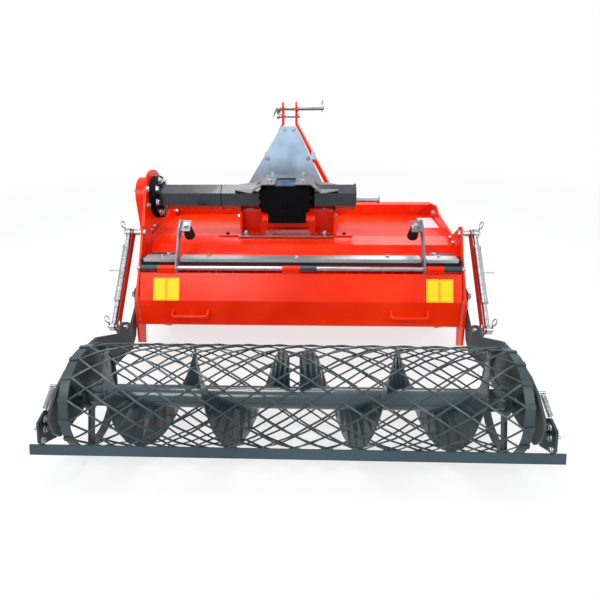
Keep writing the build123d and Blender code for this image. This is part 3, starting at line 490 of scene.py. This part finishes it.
blocks("guard_tabs", [(x0, x1, 834, 1088, GUARD_TOP, GUARD_TABS_TOP)
                      for x0, x1 in ((-186, -128), (-28, 46))], GUARD, "hood", 0.0015)
bolts("guard_bolts", [((x, y, GUARD_TABS_TOP), UP, 15) for x in (-155, 8) for y in (893, 1066)])
bolts("gearbox_plugs", [((GEARBOX_X, 840, 705), REAR, 13), ((GEARBOX_X, 844, 645), REAR, 9)]
      + [((x, SIDE_PLUG_Y, z), way, 12) for x, way in zip(GEARBOX_ENDS, (LEFT, RIGHT))
         for z in SIDE_PLUG_HEIGHTS], BLACK, "hood")
blocks("saddle_rail", [(-322, 166, 845, 874.6, SEAT_Z, RAIL_TOP)], STEEL, "hood", 0.001)
blocks("saddle_tabs", [(x0, x1, 862, 915, SEAT_Z, SEAT_TABS_Z)
                       for x0, x1 in ((-427, -316.6), (176.6, 264))], RED, "hood", 0.0015)
bolts("saddle_bolts", [((x, y, SADDLE_TOP), UP, 16) for y in SADDLE_BOLT_Y for x in SADDLE_BOLT_X]
      + [((176, 918, 632), RIGHT, 16), ((-316, 918, 632), LEFT, 16)])
bolts("tab_bolts", [((x, 890, SEAT_TABS_Z), UP, 9) for x in (-384, 222)], BLACK, "hood")

# Drive flange, side plates and hood.
PLATE_OUT, PLATE_IN = 760, 750
PAD_BACK, PAD_FRONT, PAD_LOW, PAD_HIGH = 1272, 1278.4, 545, 572
SEAM_R, SEAM_X = 64.2, (-410, -406)

bolts("flange_bolts", [(place, RIGHT, 17) for place in around(DRIVE_YZ, 86, -728, 8, 50)])
bolts("plate_bolts", [((-PLATE_OUT, 860, 782), RIGHT, 16), ((-PLATE_OUT, 844, 704), RIGHT, 16),
                      ((-PLATE_OUT, 871, 594), RIGHT, 11), ((-PLATE_OUT, 838, 584), RIGHT, 11),
                      ((-PLATE_IN, 1240, 564), RIGHT, 16), ((PLATE_IN, 1204, 567), LEFT, 16),
                      ((PLATE_IN, 832, 548), LEFT, 10), ((PLATE_IN, 775, 540), LEFT, 10)])
blocks("tube_pads", [(x0, x1, PAD_BACK, PAD_FRONT, PAD_LOW, PAD_HIGH)
                     for x0, x1 in ((-485, -426), (345, 404))], RED, "hood")
bm = bmesh.new()
skin(bm, [[at(x, DRIVE_YZ[0] + SEAM_R * math.sin(a), DRIVE_YZ[1] + SEAM_R * math.cos(a)) for a in turns(6)]
          for x in SEAM_X])
make("tube_seam", bm, BLACK, "hood")

# Hinge line.
BAR_TOP, STRIP_TOP = 520, 508

bolts("bar_bolts", [((x, 632, BAR_TOP), UP, 10) for x in (-651, -428, -16, 410, 651)])
blocks("bar_end_strips", [(x0, x1, 651, 714, 494, STRIP_TOP) for x0, x1 in ((-736, -620), (620, 736))],
       DARK, "hood", 0.003)
bolts("strip_nuts", [((s * 637, 684, STRIP_TOP), UP, 15) for s in SIDES])
blocks("bar_end_caps", [(x0, x1, 590, 646, 506.2, 519) for x0, x1 in ((-748, -730.5), (730.5, 748))],
       RUBBER, "hood", 0.004)

# Door stops: a bolt through each tilted clip, and under it a rubber buffer with a rounded foot.
STOP_X, STOP_SEAT, STOP_TILT = 542, (712, 642), math.radians(30)
CLIP_HALF_Y, CLIP_HALF_Z = 1.5, 2.6
BUFFER_PROFILE = [(0.0195, 0), (0.0205, 0.003), (0.0215, 0.022), (0.0250, 0.058), (0.0257, 0.064),
                  (0.0250, 0.069), (0.0222, 0.0723), (0.0180, 0.073)]

stop_up = Vector((0, -math.sin(STOP_TILT), math.cos(STOP_TILT)))
bolts("stop_bolts", [((s * STOP_X, STOP_SEAT[0] - CLIP_HALF_Y, STOP_SEAT[1] + CLIP_HALF_Z), stop_up, 16)
                     for s in SIDES], body="door")
bm = bmesh.new()
for s in SIDES:
    lathe(bm, at(s * STOP_X, STOP_SEAT[0] + CLIP_HALF_Y, STOP_SEAT[1] - CLIP_HALF_Z), -stop_up,
          BUFFER_PROFILE, steps=32)
buffers = make("stop_buffer_rubbers", bm, RUBBER, "door", smooth=40)
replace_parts(buffers, "stop_buffers")

# Mast: clips on the link pins, a ring through the top pin, a split pin in the stowed one, the shield's bolts.
MAST_PIN_Y, SHIELD_Y = 1290, 1243
RING_SWAY, RING_R, RING_WIRE_R, RING_EAR_R = 0.006, 0.026, 0.003, 0.0035
SPLIT_PIN_R = 0.0028

bm = bmesh.new()
linch(bm, -36, 1288, 1082, 1, 13)
linch(bm, 104, MAST_PIN_Y, 1122, 1, 14)
for x, side in ((-566, -1), (426, 1)):
    linch(bm, x, 1395, 512, side, 16)
ring_middle = at(-149, MAST_PIN_Y, 1108)
rod(bm, [ring_middle + Vector((RING_SWAY * math.sin(t), RING_R * math.cos(t), RING_R * math.sin(t)))
         for t in turns(24)], RING_WIRE_R, steps=8, closed=True)
rod(bm, [at(-151, MAST_PIN_Y, 1134), at(-136, MAST_PIN_Y, 1134)], RING_EAR_R, steps=8)
rod(bm, [at(398, DRIVE_Y, 728), at(398, DRIVE_Y, 676)], SPLIT_PIN_R, steps=8)
make("pin_clips", bm, ZINC, "hood", smooth=40)
bolts("shield_bolts", [((x, SHIELD_Y, z), REAR, thread) for x, z, thread in (
    (30, 868, 12), (-196, 868, 12), (-96, 1018, 9), (-48, 1018, 9), (-330, 670, 12), (112, 670, 12))])

# Side drive case on the left, and the rotor's bearing on the right.
CASE_OUT, CASE_BACK, BEARING_OUT = -830, -772, 772
CASE_FOOT_R, CASE_FOOT_LONG = 0.014, 0.012
CASE_EDGE_Y, BEARING_BOLT_OFF = 92, 74

blocks("case_spacer", [(CASE_BACK, -PLATE_OUT, 905, 1025, 330, 480)], RED, "hood", 0.0)
bm = bmesh.new()
for place in around(ROTOR_YZ, 84, -PLATE_OUT, 4, 45):
    lathe(bm, at(*place), LEFT, [(CASE_FOOT_R, 0), (CASE_FOOT_R, CASE_FOOT_LONG)], steps=20)
make("case_feet", bm, RED, "hood", smooth=40)
bolts("case_bolts", [(place, LEFT, 12) for place in around(DRIVE_YZ, 88, CASE_OUT, 5)
                     + around(ROTOR_YZ, 96, CASE_OUT, 6, 180)
                     + [(CASE_OUT, DRIVE_Y + s * CASE_EDGE_Y, z) for s in SIDES for z in (420, 570)]])
bolts("case_plugs", [((CASE_OUT, DRIVE_Y, 640), LEFT, 20), ((CASE_OUT, DRIVE_Y, 400), LEFT, 16)],
      BRIGHT, "hood")
bolts("bearing_bolts", [((BEARING_OUT, ROTOR_YZ[0] + sy * BEARING_BOLT_OFF,
                          ROTOR_YZ[1] + sz * BEARING_BOLT_OFF), RIGHT, 16) for sy in SIDES for sz in SIDES]
      + [(place, RIGHT, 10) for place in around(ROTOR_YZ, 56, 800, 6, 30)])

# Weld beads along the main seams, each from one place to another, with a faint ripple.
WELD_R, WELD_STEPS, WELD_RIPPLE, WELD_TURN = 0.0026, 24, 0.0004, 2.4
SIDE_SEAM_X, SIDE_SEAM_Z = 748.5, 541.5
SADDLE_SEAM_Z, FRONT_SEAM_Y, FRONT_SEAM_Z = 551.5, 1279, 598

SEAMS = [((s * SIDE_SEAM_X, 880, SIDE_SEAM_Z), (s * SIDE_SEAM_X, 1270, SIDE_SEAM_Z)) for s in SIDES]
SEAMS += [((x, 890, SADDLE_SEAM_Z), (x, 1066, SADDLE_SEAM_Z)) for x in (-304.5, 164.5)]
SEAMS += [((x0, FRONT_SEAM_Y, FRONT_SEAM_Z + 0.5), (x1, FRONT_SEAM_Y, FRONT_SEAM_Z + 0.5))
          for x0, x1 in ((-400, -320), (180, 260))]
SEAMS += [((s * SIDE_SEAM_X, FRONT_SEAM_Y, FRONT_SEAM_Z), (s * SIDE_SEAM_X, 1336, FRONT_SEAM_Z))
          for s in SIDES]
bm = bmesh.new()
for a, b in SEAMS:
    rod(bm, [at(*a).lerp(at(*b), k / WELD_STEPS) + UP * (WELD_RIPPLE * math.sin(k * WELD_TURN))
             for k in range(WELD_STEPS + 1)], WELD_R, steps=8)
make("welds", bm, RED, "hood", smooth=60)

# Roller frame, on each side: clips, bolts, the grease cap, and the scraper's spring with its stud.
CAP_PROFILE = [(0.0075, 0), (0.0075, 0.004), (0.006, 0.008), (0.003, 0.010)]
STUD_PROFILE = [(0.010, 0), (0.010, 0.006), (0.005, 0.0062), (0.005, 0.019)]
COIL_R, COIL_WIRE_R, COIL_TURNS, COIL_STEPS, COIL_END = 0.0078, 0.0016, 17, 14, 0.006
SPRING_TOP, SPRING_FOOT = (842, -98, 318), (871, -141, 243)
SPRING_PIN_X, SPRING_PIN_R = (829, 852), 0.005
STUD_PLACE = (876, -180, 196)


def scraper_spring(bm, side, out):
    """Coil between the arm's pin and the bracket, with the pin and the bracket's stud."""
    def beside(place):
        return at(side * place[0], *place[1:])

    top, foot = beside(SPRING_TOP), beside(SPRING_FOOT)
    m = axes(foot - top)
    span = (foot - top).length - 2 * COIL_END
    last = COIL_TURNS * COIL_STEPS
    coil = []
    for k in range(last + 1):
        a = 2 * math.pi * k / COIL_STEPS
        coil.append(top + m @ Vector((COIL_R * math.cos(a), COIL_R * math.sin(a), COIL_END + span * k / last)))
    rod(bm, [top] + coil + [foot], COIL_WIRE_R, steps=6)
    rod(bm, [beside((x, *SPRING_TOP[1:])) for x in SPRING_PIN_X], SPRING_PIN_R, steps=16)
    lathe(bm, beside(STUD_PLACE), out, STUD_PROFILE, steps=16)


for name, side, out in (("left", -1, LEFT), ("right", 1, RIGHT)):
    bm = bmesh.new()
    linch(bm, side * 839, 703, 612, side, 17)
    make("top_clip_" + name, bm, ZINC, "hood", smooth=40)
    bm = bmesh.new()
    linch(bm, side * 840, 360, 290, side, 15)
    make("low_clip_" + name, bm, ZINC, "roller_frame", smooth=40)
    bolts("frame_bolts_" + name,
          [((side * 876, -135, 190), out, 13), ((side * 868, -152, 214), -out, 12.4),
           ((side * 868, -168, 184), -out, 12.4), ((side * 868, -196, 158), -out, 11)]
          + [(place, out, 10) for place in around((0, 200), 34, side * 850, 4, 45)], body="roller_frame")
    bm = bmesh.new()
    lathe(bm, at(side * 804, -30, 226), -out, CAP_PROFILE, steps=20)
    make("grease_cap_" + name, bm, GREEN, "roller_frame", smooth=40)
    bm = bmesh.new()
    scraper_spring(bm, side, out)
    make("spring_coil_" + name, bm, ZINC, "roller_frame", smooth=40)
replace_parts(bpy.data.objects["spring_coil_left"], "scraper_springs")

bolts("pivot_nuts", [((s * 786, 560, 352), RIGHT * s, 19) for s in SIDES])


# ------------------------------------------------------------ floor and light

FLOOR_HALF = 45
FLOOR_PAINT = (0.90, 0.90, 0.91, 1)
FADE_FROM, FADE_TO, FADE_NEAR, FADE_FAR = 1.5, 5.5, 0.72, 1.0
SKY_LIGHT, SKY_POWER = (0.94, 0.97, 1.0, 1), 0.50
WHITE = (1, 1, 1, 1)


def pale_floor():
    """Plain floor that takes the shadow near the machine and fades to plain white further out."""
    bm = bmesh.new()
    bm.faces.new([bm.verts.new((u * FLOOR_HALF, v * FLOOR_HALF, 0)) for u, v in SQUARE])
    me = bpy.data.meshes.new("floor")
    bm.to_mesh(me)
    bm.free()
    floor = bpy.data.objects.new("floor", me)
    bpy.context.scene.collection.objects.link(floor)
    m = bpy.data.materials.new("floor_white")
    m.use_nodes = True
    nt = m.node_tree
    nt.nodes.clear()
    out = nt.nodes.new("ShaderNodeOutputMaterial")
    paint = nt.nodes.new("ShaderNodeBsdfDiffuse")
    paint.inputs[0].default_value = FLOOR_PAINT
    glow = nt.nodes.new("ShaderNodeEmission")
    glow.inputs[0].default_value = WHITE
    mix = nt.nodes.new("ShaderNodeMixShader")
    place = nt.nodes.new("ShaderNodeNewGeometry")
    distance = nt.nodes.new("ShaderNodeVectorMath")
    distance.operation = "LENGTH"
    nt.links.new(place.outputs["Position"], distance.inputs[0])
    fade = map_range(nt, distance.outputs["Value"], FADE_FROM, FADE_TO, FADE_NEAR, FADE_FAR)
    for n, source in enumerate((fade, paint.outputs[0], glow.outputs[0])):
        nt.links.new(source, mix.inputs[n])
    nt.links.new(mix.outputs[0], out.inputs[0])
    me.materials.append(m)


def studio_world():
    """Soft light from all round; camera, glossy and transmission rays see plain white."""
    world = bpy.data.worlds.new("studio")
    bpy.context.scene.world = world
    world.use_nodes = True
    nt = world.node_tree
    nt.nodes.clear()
    out = nt.nodes.new("ShaderNodeOutputWorld")
    lit = nt.nodes.new("ShaderNodeBackground")
    lit.inputs[0].default_value = SKY_LIGHT
    lit.inputs[1].default_value = SKY_POWER
    seen = nt.nodes.new("ShaderNodeBackground")
    seen.inputs[0].default_value = WHITE
    seen.inputs[1].default_value = 1.0
    path = nt.nodes.new("ShaderNodeLightPath")
    rays = path.outputs["Is Camera Ray"]
    for kind in ("Is Glossy Ray", "Is Transmission Ray"):
        most = nt.nodes.new("ShaderNodeMath")
        most.operation = "MAXIMUM"
        nt.links.new(rays, most.inputs[0])
        nt.links.new(path.outputs[kind], most.inputs[1])
        rays = most.outputs[0]
    mix = nt.nodes.new("ShaderNodeMixShader")
    for n, source in enumerate((rays, lit.outputs[0], seen.outputs[0])):
        nt.links.new(source, mix.inputs[n])
    nt.links.new(mix.outputs[0], out.inputs[0])


def area(name, place, target, size, power):
    light = bpy.data.lights.new(name, "AREA")
    light.shape = "RECTANGLE"
    light.size, light.size_y = size
    light.energy = power
    ob = bpy.data.objects.new(name, light)
    bpy.context.scene.collection.objects.link(ob)
    ob.location = place
    ob.rotation_euler = (Vector(target) - Vector(place)).to_track_quat("-Z", "Y").to_euler()


pale_floor()
studio_world()
# Lamps: place and what each points at, in metres, its size, and its power in watts.
area("key", (-1.6, -3.0, 3.4), (0, 0, 0.4), (2.4, 1.6), 80)
area("fill", (2.8, -2.4, 2.2), (0, -0.2, 0.4), (2.0, 2.0), 55)
area("back", (0.3, 2.8, 3.0), (0, 0, 0.5), (3.0, 1.2), 60)
area("top", (-0.60, 0.45, 3.2), (-0.45, 0.30, 0), (1.4, 1.4), 60)


# ----------------------------------------------------------------- the camera

# At the photograph's place: turned, tipped down and rolled by degrees, its lens and sensor in millimetres, and
# how near and far it sees in metres.
YAW, PITCH, ROLL = (math.radians(v) for v in (-1.98, 27.0, -0.46))
CAMERA_PLACE = (0.0668, ROLLER_Y - 1.3117, 1.281)
LENS, SENSOR = 26.484, 36.0
CLIP_NEAR, CLIP_FAR = 0.02, 60

ahead = Vector((math.sin(YAW) * math.cos(PITCH), math.cos(YAW) * math.cos(PITCH), -math.sin(PITCH)))
level = Vector((math.cos(YAW), -math.sin(YAW), 0))
right = level * math.cos(ROLL) + level.cross(ahead) * math.sin(ROLL)
camera_data = bpy.data.cameras.new("camera")
camera_data.sensor_width = SENSOR
camera_data.lens = LENS
camera_data.clip_start, camera_data.clip_end = CLIP_NEAR, CLIP_FAR
camera = bpy.data.objects.new("camera", camera_data)
bpy.context.scene.collection.objects.link(camera)
turned = Matrix((right, right.cross(ahead), -ahead)).transposed().to_4x4()
camera.matrix_world = Matrix.Translation(CAMERA_PLACE) @ turned
bpy.context.scene.camera = camera
bpy.context.scene.view_settings.view_transform = "Standard"
